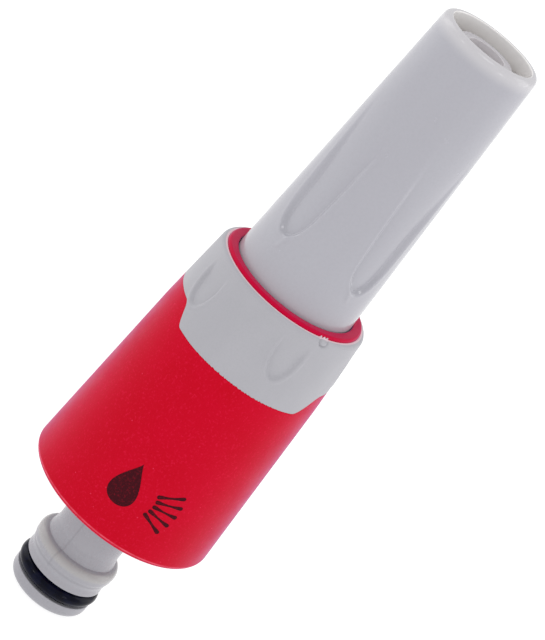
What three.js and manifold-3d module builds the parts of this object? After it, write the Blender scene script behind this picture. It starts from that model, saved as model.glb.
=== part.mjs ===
// Adjustable twist nozzle for a garden hose, with a quick-connect plug at its inlet.
// Millimetres, +Z along the water path: the plug's end face is at z = 0 and the mouth is at the top.
// Angles are degrees about Z, counted from the front (-Y) towards the right (+X).
//
// Twisting the barrel screws it along the core. Screwed in, its throat closes on the pintle's seal;
// screwed out, the throat clears the pintle and the wide spray narrows to a jet.

import * as THREE from 'three';
import { mergeVertices } from 'three/addons/utils/BufferGeometryUtils.js';
import Module from 'manifold-3d';

const wasm = await Module();
wasm.setup();

// ---------- driving dimensions ----------

const GAP = 0.3; // between pieces that rest on each other
const CHAMFER = 0.2; // on moulded rims

// Quick-connect plug: sealing land, O-ring groove, locking shoulder, neck, flange and hub
const PLUG_RADIUS = 7.9;
const PLUG_BORE = 4.5;
const PLUG_MOUTH_CHAMFER = 0.4;
const PLUG_EDGE = 1.2;
const PLUG_GROOVE = { bottom: 2.6, top: 6.0, root: 5.3 };
const PLUG_SEAL = { section: 2.65, radius: 6.92, height: 4.2 };
const SHOULDER = { foot: 7.2, footRadius: 7.78, swell: 8.9, swellRadius: 8.24, radius: 8.33, round: 1.2 };
const SHOULDER_TOP = 11.55;
const NECK_RADIUS = 6.6;
const FLANGE = { bottom: 26, top: 29, radius: 15.9 };
const HUB = { radius: 9, top: 40, socket: 6.3, floor: 30.4 };

// Grip shell and its soft collar
const GRIP = { bottom: 24, edge: 1.1, top: 76.35, rimOuter: 14, rimRound: 0.5, bore: 12.5 };
const GRIP_TAPER = {
  base: 25.1, baseRadius: 18.33,
  bend: 60.5, bendRadius: 16.3,
  end: 74, endRadius: 15.17,
};
const GRIP_CAVITY = { lip: 59.9, radius: 13.9, taperTop: 46, floor: 32.3, floorRadius: 14.9 };
const SKIRT_BORE = 16.3;
const NUT = { corner: 13.2, height: 4 };
const COLLAR = { edge: 60.9, inset: 1.5, shoulder: 0.9, shoulderHeight: 74.85, top: 75.8 };
const LOBE = { count: 2, centre: 8.5, halfWidth: 48, ramp: 14, rise: 3.6, fadeAbove: 12, fadeBelow: 20 };
const DENT = { count: 5, centre: 25.5, halfWidth: 10.5, bottom: 65.5, top: 74, depth: 0.3 };

// Barrel
const MOUTH = { height: 130, radius: 9.45, bore: 8.05, lip: 1.2 };
const BARREL_BASE = { height: 52, radius: 12, straightTop: 75.5 };
const BARREL_WALL = { straight: 1.8, tapered: 1.6 };
const BARREL_FLANGE = { radius: 13.4, height: 2.5 };
const RECESS_FLOOR = 118;
const FLUTE = { angles: [-38, 48.5, 140, -128], depth: 0.7, bottom: 84, fadeFrom: 94, top: 115 };
const FLUTE_OUTLINE = { halfWidth: 17.5, tip: 6.8, spreadFrom: 89, spread: 0.42, wall: 6.5 }; // degrees, mm

// Screw between the core and the barrel
const THREAD = { lead: 8, starts: 2, mean: 6.8, depth: 0.8, bottom: 45, top: 64 };
const BUSH = { bottom: 52.5, top: 66.8, radius: 8.7, thread: 63.5, relief: 7.6 };

// Core, pintle and nozzle tube
const CORE = { bore: 3.6, shaft: 5.6, foot: 6, collar: 8.2, collarHeight: 2.2, top: 104, topChamfer: 0.6 };
const GASKET_THICKNESS = 1;
const WINDOW = { bottom: 91, top: 98.5, width: 3.6, count: 3 };
const CORE_SEAL = { section: 1.4, radius: 5.5, height: 85, root: 4.55, halfGroove: 1.05 };
const TUBE = { bore: 6.4, wall: 8, base: 9.9, socket: 9, tip: 5.3, tipTop: 128.3 };
const GLAND_SEAL = { section: 1.8, radius: 6.75, height: 68.6, root: 8 };
const THROAT = { bottom: 118, top: 121, radius: 3, coneBottom: 112 };
const ORIFICE_RADIUS = 3.5;
const PINTLE = { shank: 3.3, flange: 4.8, flangeHeight: 1.2, body: 3, land: 2.7, tip: 121, tipRadius: 0.8 };
const PINTLE_SEAL = { section: 1.4, radius: 2.75, height: 113.6, root: 1.8, halfGroove: 1 };

// Fineness of the round pieces
const OUTER_SEGMENTS = 48;
const INNER_SEGMENTS = 30;
const SEAL_SEGMENTS = 24;

// ---------- materials ----------

const greyPlastic = { color: 0xb2b3b8, roughness: 0.42, metalness: 0 };
const greySoft = { color: 0xb2b4b6, roughness: 0.6, metalness: 0 };
const redPlastic = { color: 0xcd1030, roughness: 0.45, metalness: 0 };
const innerPlastic = { color: 0xa9abb0, roughness: 0.5, metalness: 0 };
const whitePlastic = { color: 0xe6e6e2, roughness: 0.45, metalness: 0 };
const blackRubber = { color: 0x14161f, roughness: 0.3, metalness: 0 };

// ---------- shape helpers ----------

const degrees = THREE.MathUtils.radToDeg;
const radians = THREE.MathUtils.degToRad;

// A point of a turned profile: its radius and its height.
function at(radius, height) {
  return new THREE.Vector2(radius, height);
}

// Points along an arc of a profile, from one angle to another (0 points outwards, 90 up).
function arc(centre, radius, from, to, steps) {
  const points = [];
  for (let i = 0; i <= steps; i += 1) {
    const angle = radians(from + ((to - from) * i) / steps);
    points.push(at(centre.x + radius * Math.cos(angle), centre.y + radius * Math.sin(angle)));
  }
  return points;
}

// Points of an outline that follows a law radius(height) between two heights.
function along(radiusAt, from, to, steps) {
  const points = [];
  for (let i = 0; i <= steps; i += 1) {
    const height = from + ((to - from) * i) / steps;
    points.push(at(radiusAt(height), height));
  }
  return points;
}

// Joins duplicate vertices and drops triangles that have no area.
function welded(geometry) {
  const bare = geometry.clone();
  bare.deleteAttribute('normal');
  bare.deleteAttribute('uv');
  const merged = mergeVertices(bare, 1e-4);
  const index = merged.getIndex().array;
  const kept = [];
  for (let i = 0; i < index.length; i += 3) {
    const [a, b, c] = [index[i], index[i + 1], index[i + 2]];
    if (a !== b && b !== c && c !== a) kept.push(a, b, c);
  }
  merged.setIndex(kept);
  merged.computeVertexNormals();
  return merged;
}

// Turns a profile about Z. A profile that stays off the axis closes on itself as a ring.
// reshape(radius, angle, height) may return a new [radius, height] for each vertex.
function turned(profile, segments, reshape = null) {
  const onAxis = profile[0].x === 0;
  const outline = onAxis ? profile : [...profile, profile[0].clone()];
  const geometry = new THREE.LatheGeometry(outline, segments);
  geometry.rotateX(Math.PI / 2);
  if (reshape) {
    const position = geometry.getAttribute('position');
    for (let i = 0; i < position.count; i += 1) {
      const x = position.getX(i);
      const y = position.getY(i);
      const angle = degrees(Math.atan2(x, -y));
      const [radius, height] = reshape(Math.hypot(x, y), angle, position.getZ(i));
      position.setXYZ(i, radius * Math.sin(radians(angle)), -radius * Math.cos(radians(angle)), height);
    }
  }
  return welded(geometry);
}

// A round seal of circular section.
function sealRing({ section, radius, height }) {
  return turned(arc(at(radius, height), section / 2, 0, 300, 5), SEAL_SEGMENTS);
}

function toManifold(geometry) {
  const closed = welded(geometry);
  const mesh = new wasm.Mesh({
    numProp: 3,
    vertProperties: new Float32Array(closed.getAttribute('position').array),
    triVerts: new Uint32Array(closed.getIndex().array),
  });
  return new wasm.Manifold(mesh);
}

function toGeometry(manifold) {
  const mesh = manifold.getMesh();
  const geometry = new THREE.BufferGeometry();
  geometry.setAttribute('position', new THREE.BufferAttribute(new Float32Array(mesh.vertProperties), 3));
  geometry.setIndex(new THREE.BufferAttribute(new Uint32Array(mesh.triVerts), 1));
  geometry.computeVertexNormals();
  return geometry;
}

function part(name, geometry, material) {
  const mesh = new THREE.Mesh(geometry, new THREE.MeshStandardMaterial(material));
  mesh.name = name;
  return mesh;
}

// Signed angle from the nearest of `count` evenly spaced centres, in degrees.
function fromNearest(angle, centre, count) {
  const pitch = 360 / count;
  const turn = (angle - centre) / pitch;
  return (turn - Math.round(turn)) * pitch;
}

// ---------- laws of the outer shape ----------

// Outer radius of the grip: two straight tapers that meet just below the collar.
function gripRadius(height) {
  const { base, baseRadius, bend, bendRadius, end, endRadius } = GRIP_TAPER;
  const lower = baseRadius + ((height - base) * (bendRadius - baseRadius)) / (bend - base);
  const upper = bendRadius + ((height - bend) * (endRadius - bendRadius)) / (end - bend);
  return height < bend ? lower : upper;
}

// Outer radius of the red shell where the collar covers it.
function seatRadius(height) {
  return Math.max(gripRadius(height) - COLLAR.inset, GRIP.rimOuter);
}

// How far the collar's lower edge is lifted between its lobes.
function edgeRise(angle) {
  const offset = Math.abs(fromNearest(angle, LOBE.centre, LOBE.count));
  return LOBE.rise * THREE.MathUtils.smoothstep(offset, LOBE.halfWidth, LOBE.halfWidth + LOBE.ramp);
}

// Lifts the outline around the collar's edge between the lobes, and keeps it on the grip's taper.
function followLobes(radius, angle, height) {
  const above = 1 - (height - COLLAR.edge) / LOBE.fadeAbove;
  const below = 1 - (COLLAR.edge - height) / LOBE.fadeBelow;
  const share = THREE.MathUtils.clamp(Math.min(above, below), 0, 1);
  const lifted = height + edgeRise(angle) * share;
  return [radius + gripRadius(lifted) - gripRadius(height), lifted];
}

// Depth of the shallow finger dents in the collar.
function dentDepth(angle, height) {
  const across = fromNearest(angle, DENT.centre, DENT.count) / DENT.halfWidth;
  const down = Math.max(0, 1 - (height - DENT.bottom) / 3);
  const inside = 1 - Math.hypot(across, down);
  const fade = 1 - THREE.MathUtils.smoothstep(height, DENT.top - 5, DENT.top);
  return DENT.depth * THREE.MathUtils.smoothstep(inside, 0, 0.35) * fade;
}

// Outer radius of the barrel before its flutes are cut.
function barrelRadius(height) {
  const { radius, straightTop } = BARREL_BASE;
  if (height < straightTop) return radius;
  return radius + ((height - straightTop) * (MOUTH.radius - radius)) / (MOUTH.height - straightTop);
}

function barrelBore(height) {
  const isStraight = height < BARREL_BASE.straightTop;
  return barrelRadius(height) - (isStraight ? BARREL_WALL.straight : BARREL_WALL.tapered);
}

// Half the width of a flute, in degrees: a rounded tip at its lower end, then a slow spread.
function fluteHalfWidth(height) {
  const { halfWidth, tip, spreadFrom, spread } = FLUTE_OUTLINE;
  const rest = 1 - THREE.MathUtils.clamp((height - FLUTE.bottom) / tip, 0, 1);
  return halfWidth * Math.sqrt(1 - rest * rest) + spread * Math.max(0, height - spreadFrom);
}

// Depth of the flutes: a level floor between two short walls, running out towards the mouth.
function fluteDepth(angle, height) {
  if (height < FLUTE.bottom || height > FLUTE.top) return 0;
  const offsets = FLUTE.angles.map((centre) => Math.abs(fromNearest(angle, centre, 1)));
  const inside = fluteHalfWidth(height) - Math.min(...offsets);
  const fade = 1 - THREE.MathUtils.smoothstep(height, FLUTE.fadeFrom, FLUTE.top);
  return FLUTE.depth * THREE.MathUtils.smoothstep(inside, 0, FLUTE_OUTLINE.wall) * fade;
}

// Height of the rounded screw thread above its root, with both ends run out.
function threadHeight(angle, height, bottom, top) {
  const turns = (height * THREAD.starts) / THREAD.lead - (THREAD.starts * angle) / 360;
  const wave = THREAD.depth * (0.5 + 0.5 * Math.cos(2 * Math.PI * turns));
  const runIn = THREE.MathUtils.smoothstep(height, bottom, bottom + 1.5);
  const runOut = 1 - THREE.MathUtils.smoothstep(height, top - 1.5, top);
  return wave * runIn * runOut;
}

const threadRoot = THREAD.mean - THREAD.depth / 2;
const threadRow = THREAD.lead / 12;

// ---------- inlet ----------

function inletPlug() {
  const shoulderCentre = at(SHOULDER.radius - SHOULDER.round, SHOULDER_TOP - SHOULDER.round);
  const profile = [
    at(PLUG_BORE + PLUG_MOUTH_CHAMFER, 0),
    ...arc(at(PLUG_RADIUS - PLUG_EDGE, PLUG_EDGE), PLUG_EDGE, -90, 0, 4),
    at(PLUG_RADIUS, PLUG_GROOVE.bottom),
    at(PLUG_GROOVE.root, PLUG_GROOVE.bottom),
    at(PLUG_GROOVE.root, PLUG_GROOVE.top),
    at(PLUG_RADIUS, PLUG_GROOVE.top),
    at(SHOULDER.footRadius, SHOULDER.foot),
    at(SHOULDER.swellRadius, SHOULDER.swell),
    ...arc(shoulderCentre, SHOULDER.round, 0, 80, 4),
    at(NECK_RADIUS, SHOULDER_TOP),
    at(NECK_RADIUS, FLANGE.bottom),
    at(FLANGE.radius, FLANGE.bottom),
    at(FLANGE.radius, FLANGE.top),
    at(HUB.radius, FLANGE.top),
    at(HUB.radius, HUB.top),
    at(HUB.socket, HUB.top),
    at(HUB.socket, HUB.floor),
    at(PLUG_BORE, HUB.floor),
    at(PLUG_BORE, PLUG_MOUTH_CHAMFER),
  ];
  return part('inlet_plug', turned(profile, INNER_SEGMENTS), greyPlastic);
}

function plugSeal() {
  return part('plug_o_ring', sealRing(PLUG_SEAL), blackRubber);
}

function coreGasket() {
  const bottom = HUB.floor + GAP;
  const top = bottom + GASKET_THICKNESS;
  const outer = HUB.socket - GAP;
  const profile = [at(PLUG_BORE, bottom), at(outer, bottom), at(outer, top), at(PLUG_BORE, top)];
  return part('core_gasket', turned(profile, SEAL_SEGMENTS), blackRubber);
}

// ---------- grip ----------

function gripShell() {
  const edgeCentre = at(GRIP_TAPER.baseRadius - GRIP.edge, GRIP.bottom + GRIP.edge);
  const seatBottom = COLLAR.edge - GAP;
  const webBottom = FLANGE.top + GAP;
  const webBore = HUB.radius + GAP;
  const profile = [
    at(SKIRT_BORE + 2 * CHAMFER, GRIP.bottom),
    ...arc(edgeCentre, GRIP.edge, -90, 0, 3),
    ...along(gripRadius, 36, COLLAR.edge - 5, 3),
    at(gripRadius(seatBottom), seatBottom),
    at(seatRadius(seatBottom), seatBottom + 0.01),
    ...along(seatRadius, COLLAR.edge + 3, 73, 3),
    ...arc(at(GRIP.rimOuter - GRIP.rimRound, GRIP.top - GRIP.rimRound), GRIP.rimRound, 0, 90, 2),
    at(GRIP.bore + CHAMFER, GRIP.top),
    at(GRIP.bore, GRIP.top - CHAMFER),
    at(GRIP.bore, GRIP_CAVITY.lip),
    at(GRIP_CAVITY.radius, GRIP_CAVITY.lip),
    at(GRIP_CAVITY.radius, GRIP_CAVITY.taperTop),
    at(GRIP_CAVITY.floorRadius, GRIP_CAVITY.floor),
    at(webBore, GRIP_CAVITY.floor),
    at(webBore, webBottom),
    at(SKIRT_BORE, webBottom),
    at(SKIRT_BORE, GRIP.bottom + 2 * CHAMFER),
  ];
  const reshape = (radius, angle, height) => {
    const onOutside = radius > seatRadius(height) - 0.1 && height > GRIP_CAVITY.floor;
    return onOutside ? followLobes(radius, angle, height) : [radius, height];
  };
  return part('grip_shell', turned(profile, OUTER_SEGMENTS, reshape), redPlastic);
}

function gripCollar() {
  const shoulderCentre = at(gripRadius(COLLAR.shoulderHeight) - COLLAR.shoulder, COLLAR.shoulderHeight);
  const innerRadius = (height) => seatRadius(height) + GAP;
  const profile = [
    ...along(gripRadius, COLLAR.edge, COLLAR.shoulderHeight - 0.6, 6),
    ...arc(shoulderCentre, COLLAR.shoulder, 0, 75, 4),
    at(GRIP.rimOuter + GAP, COLLAR.top),
    ...along(innerRadius, 73, COLLAR.edge, 3),
  ];
  const reshape = (radius, angle, height) => {
    const [liftedRadius, lifted] = followLobes(radius, angle, height);
    const onOutside = radius > innerRadius(height) + 0.2;
    return [liftedRadius - (onOutside ? dentDepth(angle, lifted) : 0), lifted];
  };
  return part('grip_collar', turned(profile, OUTER_SEGMENTS, reshape), greySoft);
}

function stemLockNut() {
  const bottom = GRIP_CAVITY.floor + GAP;
  const outline = new THREE.Shape();
  for (let corner = 0; corner < 6; corner += 1) {
    const angle = (corner * Math.PI) / 3;
    const [x, y] = [NUT.corner * Math.cos(angle), NUT.corner * Math.sin(angle)];
    if (corner === 0) outline.moveTo(x, y);
    else outline.lineTo(x, y);
  }
  outline.closePath();
  const bore = new THREE.Path();
  bore.absarc(0, 0, HUB.radius + GAP, 0, 2 * Math.PI, true);
  outline.holes.push(bore);
  const options = { depth: NUT.height, bevelEnabled: false, curveSegments: SEAL_SEGMENTS };
  const geometry = new THREE.ExtrudeGeometry(outline, options);
  geometry.translate(0, 0, bottom);
  return part('stem_lock_nut', welded(geometry), innerPlastic);
}

// ---------- core ----------

function coreStem() {
  const foot = HUB.floor + GASKET_THICKNESS + 2 * GAP;
  const collarBottom = HUB.top + GAP;
  const rows = Math.round((THREAD.top - THREAD.bottom) / threadRow);
  const { root, height: sealHeight, halfGroove } = CORE_SEAL;
  const profile = [
    at(CORE.bore, foot),
    at(CORE.foot, foot),
    at(CORE.foot, collarBottom),
    at(CORE.collar, collarBottom),
    at(CORE.collar, collarBottom + CORE.collarHeight),
    at(threadRoot, collarBottom + CORE.collarHeight + 0.8),
    ...along(() => threadRoot, THREAD.bottom, THREAD.top, rows),
    at(CORE.shaft, THREAD.top + 0.8),
    at(CORE.shaft, sealHeight - halfGroove),
    at(root, sealHeight - halfGroove),
    at(root, sealHeight + halfGroove),
    at(CORE.shaft, sealHeight + halfGroove),
    at(CORE.shaft, CORE.top - CORE.topChamfer),
    at(CORE.shaft - CORE.topChamfer, CORE.top),
    at(CORE.bore, CORE.top),
  ];
  const reshape = (radius, angle, height) => {
    const threaded = Math.abs(radius - threadRoot) < 0.01 && height >= THREAD.bottom && height <= THREAD.top;
    return [radius + (threaded ? threadHeight(angle, height, THREAD.bottom, THREAD.top) : 0), height];
  };
  let solid = toManifold(turned(profile, INNER_SEGMENTS, reshape));
  for (let i = 0; i < WINDOW.count; i += 1) {
    const cutter = new THREE.BoxGeometry(WINDOW.width, CORE.shaft, WINDOW.top - WINDOW.bottom);
    cutter.translate(0, -CORE.shaft, (WINDOW.top + WINDOW.bottom) / 2);
    cutter.rotateZ(radians((360 * i) / WINDOW.count));
    solid = solid.subtract(toManifold(cutter));
  }
  return part('core_stem', toGeometry(solid), innerPlastic);
}

function coreSeal() {
  return part('core_o_ring', sealRing(CORE_SEAL), blackRubber);
}

function pintle() {
  const seat = CORE.top + GAP;
  const flangeTop = seat + PINTLE.flangeHeight;
  const grooveBottom = PINTLE_SEAL.height - PINTLE_SEAL.halfGroove;
  const grooveTop = PINTLE_SEAL.height + PINTLE_SEAL.halfGroove;
  const profile = [
    at(0, WINDOW.top - 2),
    at(PINTLE.shank, WINDOW.top + 0.5),
    at(PINTLE.shank, seat),
    at(PINTLE.flange, seat),
    at(PINTLE.flange, flangeTop),
    at(PINTLE.body, flangeTop + 1.2),
    at(PINTLE.body, grooveBottom),
    at(PINTLE_SEAL.root, grooveBottom),
    at(PINTLE_SEAL.root, grooveTop),
    at(PINTLE.land, grooveTop),
    at(PINTLE.land - 0.1, grooveTop + 0.6),
    at(PINTLE.tipRadius, PINTLE.tip - 0.3),
    at(0, PINTLE.tip),
  ];
  return part('pintle', turned(profile, SEAL_SEGMENTS), whitePlastic);
}

function pintleSeal() {
  return part('pintle_o_ring', sealRing(PINTLE_SEAL), blackRubber);
}

// ---------- barrel ----------

function threadBush() {
  const threadBottom = BUSH.bottom + 0.8;
  const rows = Math.round((BUSH.thread - threadBottom) / threadRow);
  const crestClear = threadRoot + GAP;
  const profile = [
    at(BUSH.relief, BUSH.bottom),
    at(BUSH.radius, BUSH.bottom),
    at(BUSH.radius, BUSH.top),
    at(BUSH.relief, BUSH.top),
    at(BUSH.relief, BUSH.thread + 0.6),
    ...along(() => crestClear, BUSH.thread, threadBottom, rows),
  ];
  const reshape = (radius, angle, height) => {
    const threaded = Math.abs(radius - crestClear) < 0.01;
    const cut = threadHeight(angle, height, THREAD.bottom - 10, THREAD.top + 10);
    return [radius + (threaded ? cut : 0), height];
  };
  return part('thread_bush', turned(profile, INNER_SEGMENTS, reshape), whitePlastic);
}

function glandSeal() {
  return part('gland_o_ring', sealRing(GLAND_SEAL), blackRubber);
}

function nozzleTube() {
  const glandTop = GLAND_SEAL.height + GLAND_SEAL.section / 2 + GAP;
  const socketTop = BUSH.top + GAP;
  const profile = [
    at(TUBE.socket, BARREL_BASE.height),
    at(TUBE.base, BARREL_BASE.height),
    at(TUBE.base, glandTop + 1),
    at(TUBE.wall, glandTop + 3),
    at(TUBE.wall, RECESS_FLOOR - 2),
    at(TUBE.tip, RECESS_FLOOR),
    at(TUBE.tip, TUBE.tipTop - 2 * CHAMFER),
    at(TUBE.tip - 2 * CHAMFER, TUBE.tipTop),
    at(ORIFICE_RADIUS + CHAMFER, TUBE.tipTop),
    at(ORIFICE_RADIUS, TUBE.tipTop - CHAMFER),
    at(ORIFICE_RADIUS, THROAT.top + ORIFICE_RADIUS - THROAT.radius),
    at(THROAT.radius, THROAT.top),
    at(THROAT.radius, THROAT.bottom),
    at(TUBE.bore, THROAT.coneBottom),
    at(TUBE.bore, glandTop),
    at(GLAND_SEAL.root, glandTop),
    at(GLAND_SEAL.root, socketTop),
    at(TUBE.socket, socketTop - 0.01),
  ];
  return part('nozzle_tube', turned(profile, INNER_SEGMENTS), innerPlastic);
}

function barrelShell() {
  const { height: base, radius, straightTop } = BARREL_BASE;
  const flangeTop = base + BARREL_FLANGE.height;
  const lipOuter = at(MOUTH.radius - MOUTH.lip, MOUTH.height - MOUTH.lip);
  const mouthBore = (height) => {
    const share = (MOUTH.height - height) / (MOUTH.height - RECESS_FLOOR);
    return MOUTH.bore + share * (barrelBore(RECESS_FLOOR) - MOUTH.bore);
  };
  const profile = [
    at(barrelBore(base), base),
    at(BARREL_FLANGE.radius, base),
    at(BARREL_FLANGE.radius, flangeTop - 0.6),
    at(radius, flangeTop),
    at(radius, straightTop),
    ...along(barrelRadius, 80, FLUTE.bottom - 1, 1),
    ...along(barrelRadius, FLUTE.bottom + 0.6, FLUTE.bottom + 7, 5),
    ...along(barrelRadius, FLUTE.bottom + 11, FLUTE.top, 3),
    ...arc(lipOuter, MOUTH.lip, 0, 90, 3),
    at(MOUTH.bore, MOUTH.height - CHAMFER),
    ...along(mouthBore, MOUTH.height - 2, RECESS_FLOOR, 1),
    at(barrelBore(straightTop + 1), straightTop + 1),
    at(barrelBore(straightTop - 1), straightTop - 1),
  ];
  const reshape = (vertexRadius, angle, height) => {
    const onOutside = vertexRadius > barrelRadius(height) - 0.1;
    return [vertexRadius - (onOutside ? fluteDepth(angle, height) : 0), height];
  };
  return part('barrel_shell', turned(profile, OUTER_SEGMENTS, reshape), greyPlastic);
}

// ---------- assembly ----------

const nozzle = new THREE.Group();
const inlet = new THREE.Group();
inlet.add(inletPlug(), plugSeal(), coreGasket());
const grip = new THREE.Group();
grip.add(gripShell(), gripCollar(), stemLockNut());
const core = new THREE.Group();
core.add(coreStem(), coreSeal(), pintle(), pintleSeal());
const barrel = new THREE.Group();
barrel.add(threadBush(), glandSeal(), nozzleTube(), barrelShell());
nozzle.add(inlet, grip, core, barrel);

export default nozzle;
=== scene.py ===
"""Looks of an adjustable garden hose nozzle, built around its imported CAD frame.

Sizes below are in millimetres and angles in degrees, counted about +Z from the front (-Y) towards the
right (+X). Heights that the CAD part settles are read from its boxes.
"""

import functools
import math

import bpy
import numpy as np
from mathutils import Matrix, Vector


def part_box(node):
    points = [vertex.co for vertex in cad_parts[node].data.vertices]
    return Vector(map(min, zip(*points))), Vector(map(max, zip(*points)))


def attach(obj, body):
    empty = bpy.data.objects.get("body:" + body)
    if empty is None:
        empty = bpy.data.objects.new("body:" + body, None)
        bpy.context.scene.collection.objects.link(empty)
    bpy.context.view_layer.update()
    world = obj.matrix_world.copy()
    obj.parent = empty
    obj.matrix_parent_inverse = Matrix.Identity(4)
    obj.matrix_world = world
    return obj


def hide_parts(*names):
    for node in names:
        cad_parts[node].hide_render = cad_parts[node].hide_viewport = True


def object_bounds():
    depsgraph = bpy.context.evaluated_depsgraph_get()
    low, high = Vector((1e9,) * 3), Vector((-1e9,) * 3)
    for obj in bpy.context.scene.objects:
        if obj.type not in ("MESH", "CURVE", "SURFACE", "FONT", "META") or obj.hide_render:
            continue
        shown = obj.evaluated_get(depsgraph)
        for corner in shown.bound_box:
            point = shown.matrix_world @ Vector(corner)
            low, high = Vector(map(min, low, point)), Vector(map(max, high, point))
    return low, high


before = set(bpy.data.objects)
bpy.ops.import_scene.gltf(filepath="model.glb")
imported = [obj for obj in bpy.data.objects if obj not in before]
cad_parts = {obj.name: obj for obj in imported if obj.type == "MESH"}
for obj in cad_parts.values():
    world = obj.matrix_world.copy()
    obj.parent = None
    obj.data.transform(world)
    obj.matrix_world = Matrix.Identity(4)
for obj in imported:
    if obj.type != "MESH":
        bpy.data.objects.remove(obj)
cad_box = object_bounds()

MM = 0.001
TAU = 2 * math.pi


def lowest(node):
    """Height of a CAD node's lowest point, in millimetres."""
    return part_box(node)[0].z / MM


def highest(node):
    """Height of a CAD node's highest point, in millimetres."""
    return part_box(node)[1].z / MM


# ---------- sizes that shape what shows ----------

# Grip: two tapers that meet under the collar's edge, and a rim above the height where it necks in
GRIP_FOOT = (lowest("grip_shell") + 1.1, 18.33)
GRIP_BEND = (60.5, 16.3)
GRIP_END = (74.0, 15.17)
GRIP_BORE, GRIP_RIM = 12.14, 14.0
NECKING_HEIGHT = 68.5
# Inside it: a chamber under the shelf that stops the barrel, a web on the plug's flange, and a skirt
STOP_UNDERSIDE = 59.9
CHAMBER_RADIUS, CHAMBER_BEND, CHAMBER_FOOT_RADIUS = 13.9, 46, 14.9
WEB_BORE, WEB_LOW, WEB_TOP = 9.3, 29.3, 32.3
SKIRT_BORE = 16.3
# Heights over which the painted highlight along the grip's foot begins and ends
FOOT_HIGHLIGHT_BEGINS, FOOT_HIGHLIGHT_ENDS = (24.7, 24.85), (24.95, 25.15)

# Collar: a lower edge with two lobes, five finger dents, one gate mark
COLLAR_INSET, COLLAR_CLEARANCE = 1.5, 0.03
COLLAR_LIP = 75.0
LOBE_CENTRE, LOBE_HALF_WIDTH, LOBE_RISE = 7.75, 47.25, 3.75
LOBE_RAMP_LEFT, LOBE_RAMP_RIGHT = 12.5, 20.0
LOBE_REACH_UP, LOBE_REACH_DOWN, FLASH_REACH = 12, 20, 1.2
EDGE_LEAN = -0.02
RAGGED_ANGLE, RAGGED_HALF_WIDTH, RAGGED_END, RAGGED_DEPTH = 12.0, 16, 40, 0.26
DENT_CENTRE, DENT_COUNT, DENT_HALF_ANGLE = 25.3, 5, 10.5
DENT_BOTTOM, DENT_DEPTH, DENT_WALL, DENT_TIP = 65.3, 0.50, 0.45, 6.2
DENT_MIDDLE_RADIUS, DENT_FADE, DENT_LIP = 15.8, (70, 74.3), 0.11
GATE_ANGLE, GATE_RADIUS, GATE_BELOW_TOP, GATE_FROM = 41.1, 0.85, 0.35, 73
GATE_DEPTH, GATE_LINE, GATE_BUTTON = 0.3, 0.16, 0.08
GATE_SCRAPS, SCRAP_HEIGHT, SCRAP_WIDTH = (-2.6, 0.4, 3.0), 0.4, 0.8

# The raised lip beside a dent or a flute: how far outside the edge it lies, and how wide it is
LIP_OFFSET, LIP_WIDTH = 0.3, 0.25

# Barrel: tapered above the grip, with a stop ring at its foot and four flutes of (angle, lower end)
MOUTH_HEIGHT = highest("barrel_shell")
MOUTH_RADIUS, MOUTH_BORE, MOUTH_LIP = 9.45, 8.05, 1.3
BARREL_RADIUS, BARREL_STRAIGHT_TOP, BARREL_WALL = 12.0, 75.5, 1.6
STOP_BORE, STOP_RADIUS, STOP_EDGE, STOP_TOP = 10.2, 13.4, 2.5, 2.7
RECESS_FLOOR = 118.0
FLUTES = ((-38.0, 84.7), (48.5, 83.9), (140.0, 84.7), (-128.0, 83.9))
FLUTE_TIP, FLUTE_FADE_FROM, FLUTE_TOP, FLUTE_DEPTH = 6.8, 94, 115.0, 0.86
FLUTE_HALF_ANGLE, FLUTE_SPREAD, FLUTE_SPREAD_FROM = 17.5, 0.42, 89
FLUTE_WALL, FLUTE_WALL_GROWTH, FLUTE_WALL_GROWS, FLUTE_LIP = 0.55, 0.35, (86, 92), 0.06
FLUTED_FROM, FLUTED_TO = 80, 118
TAIL_RISES, TAIL_FALLS, TAIL_SPREAD = (81.9, 83.2), (84.6, 86.5), 4.2
TAIL_RELIEF, TAIL_WIDTH = 0.19, 0.5

# Tube inside the barrel
TUBE_RADIUS, TUBE_BORE, TUBE_TIP_RADIUS = 8.0, 6.4, 5.3
TUBE_FOOT_RADIUS, TUBE_FOOT_TOP, TUBE_TAPER_TOP = 9.9, 70.8, 72.8
BUSH_SEAT_RADIUS, BUSH_SEAT_TOP = 9.0, 67.0
GLAND_SEAT_RADIUS, GLAND_SEAT_LOW, GLAND_SEAT_TOP = 8.0, 67.1, 69.8
FUNNEL_FOOT = 112
THROAT_RADIUS, THROAT_LOW, THROAT_TOP = 3.0, 118, 121
ORIFICE_RADIUS, ORIFICE_FOOT = 3.5, 121.5

# Inlet plug: seal groove, waist, locking shoulder, neck, then the flange and hub inside the grip
PLUG_RADIUS, PLUG_BORE, NECK_RADIUS = 7.9, 4.5, 6.6
GROOVE_ROOT, GROOVE_LOW, GROOVE_TOP = 5.3, 2.65, 5.85
PLUG_WAIST, PLUG_SWELL = (7.78, 7.3), (8.24, 8.9)
SHOULDER_CREST, SHOULDER_TOP, SHOULDER_BLUNTNESS = (8.33, 9.9), 11.55, 2.4
NECK_FLARE, NECK_FLARE_MIDDLE, NECK_FLARE_TOP = 0.45, (NECK_RADIUS + 0.2, 12.5), 13.7
FLANGE_RADIUS, FLANGE_LOW, FLANGE_TOP = 15.9, 26.0, 29.0
HUB_RADIUS, CORE_SEAT_RADIUS, CORE_SEAT_FLOOR = 9.0, 6.3, 30.4
PLUG_STEP, PLUG_STEP_DEPTH, PLUG_STEP_WIDTH = 8.4, 0.10, 0.26
PARTING_ANGLE, PARTING_RELIEF, PARTING_WIDTH, PARTING_BEGINS = -17.0, 0.08, 1.6, (6.2, 7.0)
PLUG_SEAL_SECTION = 2.75

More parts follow.
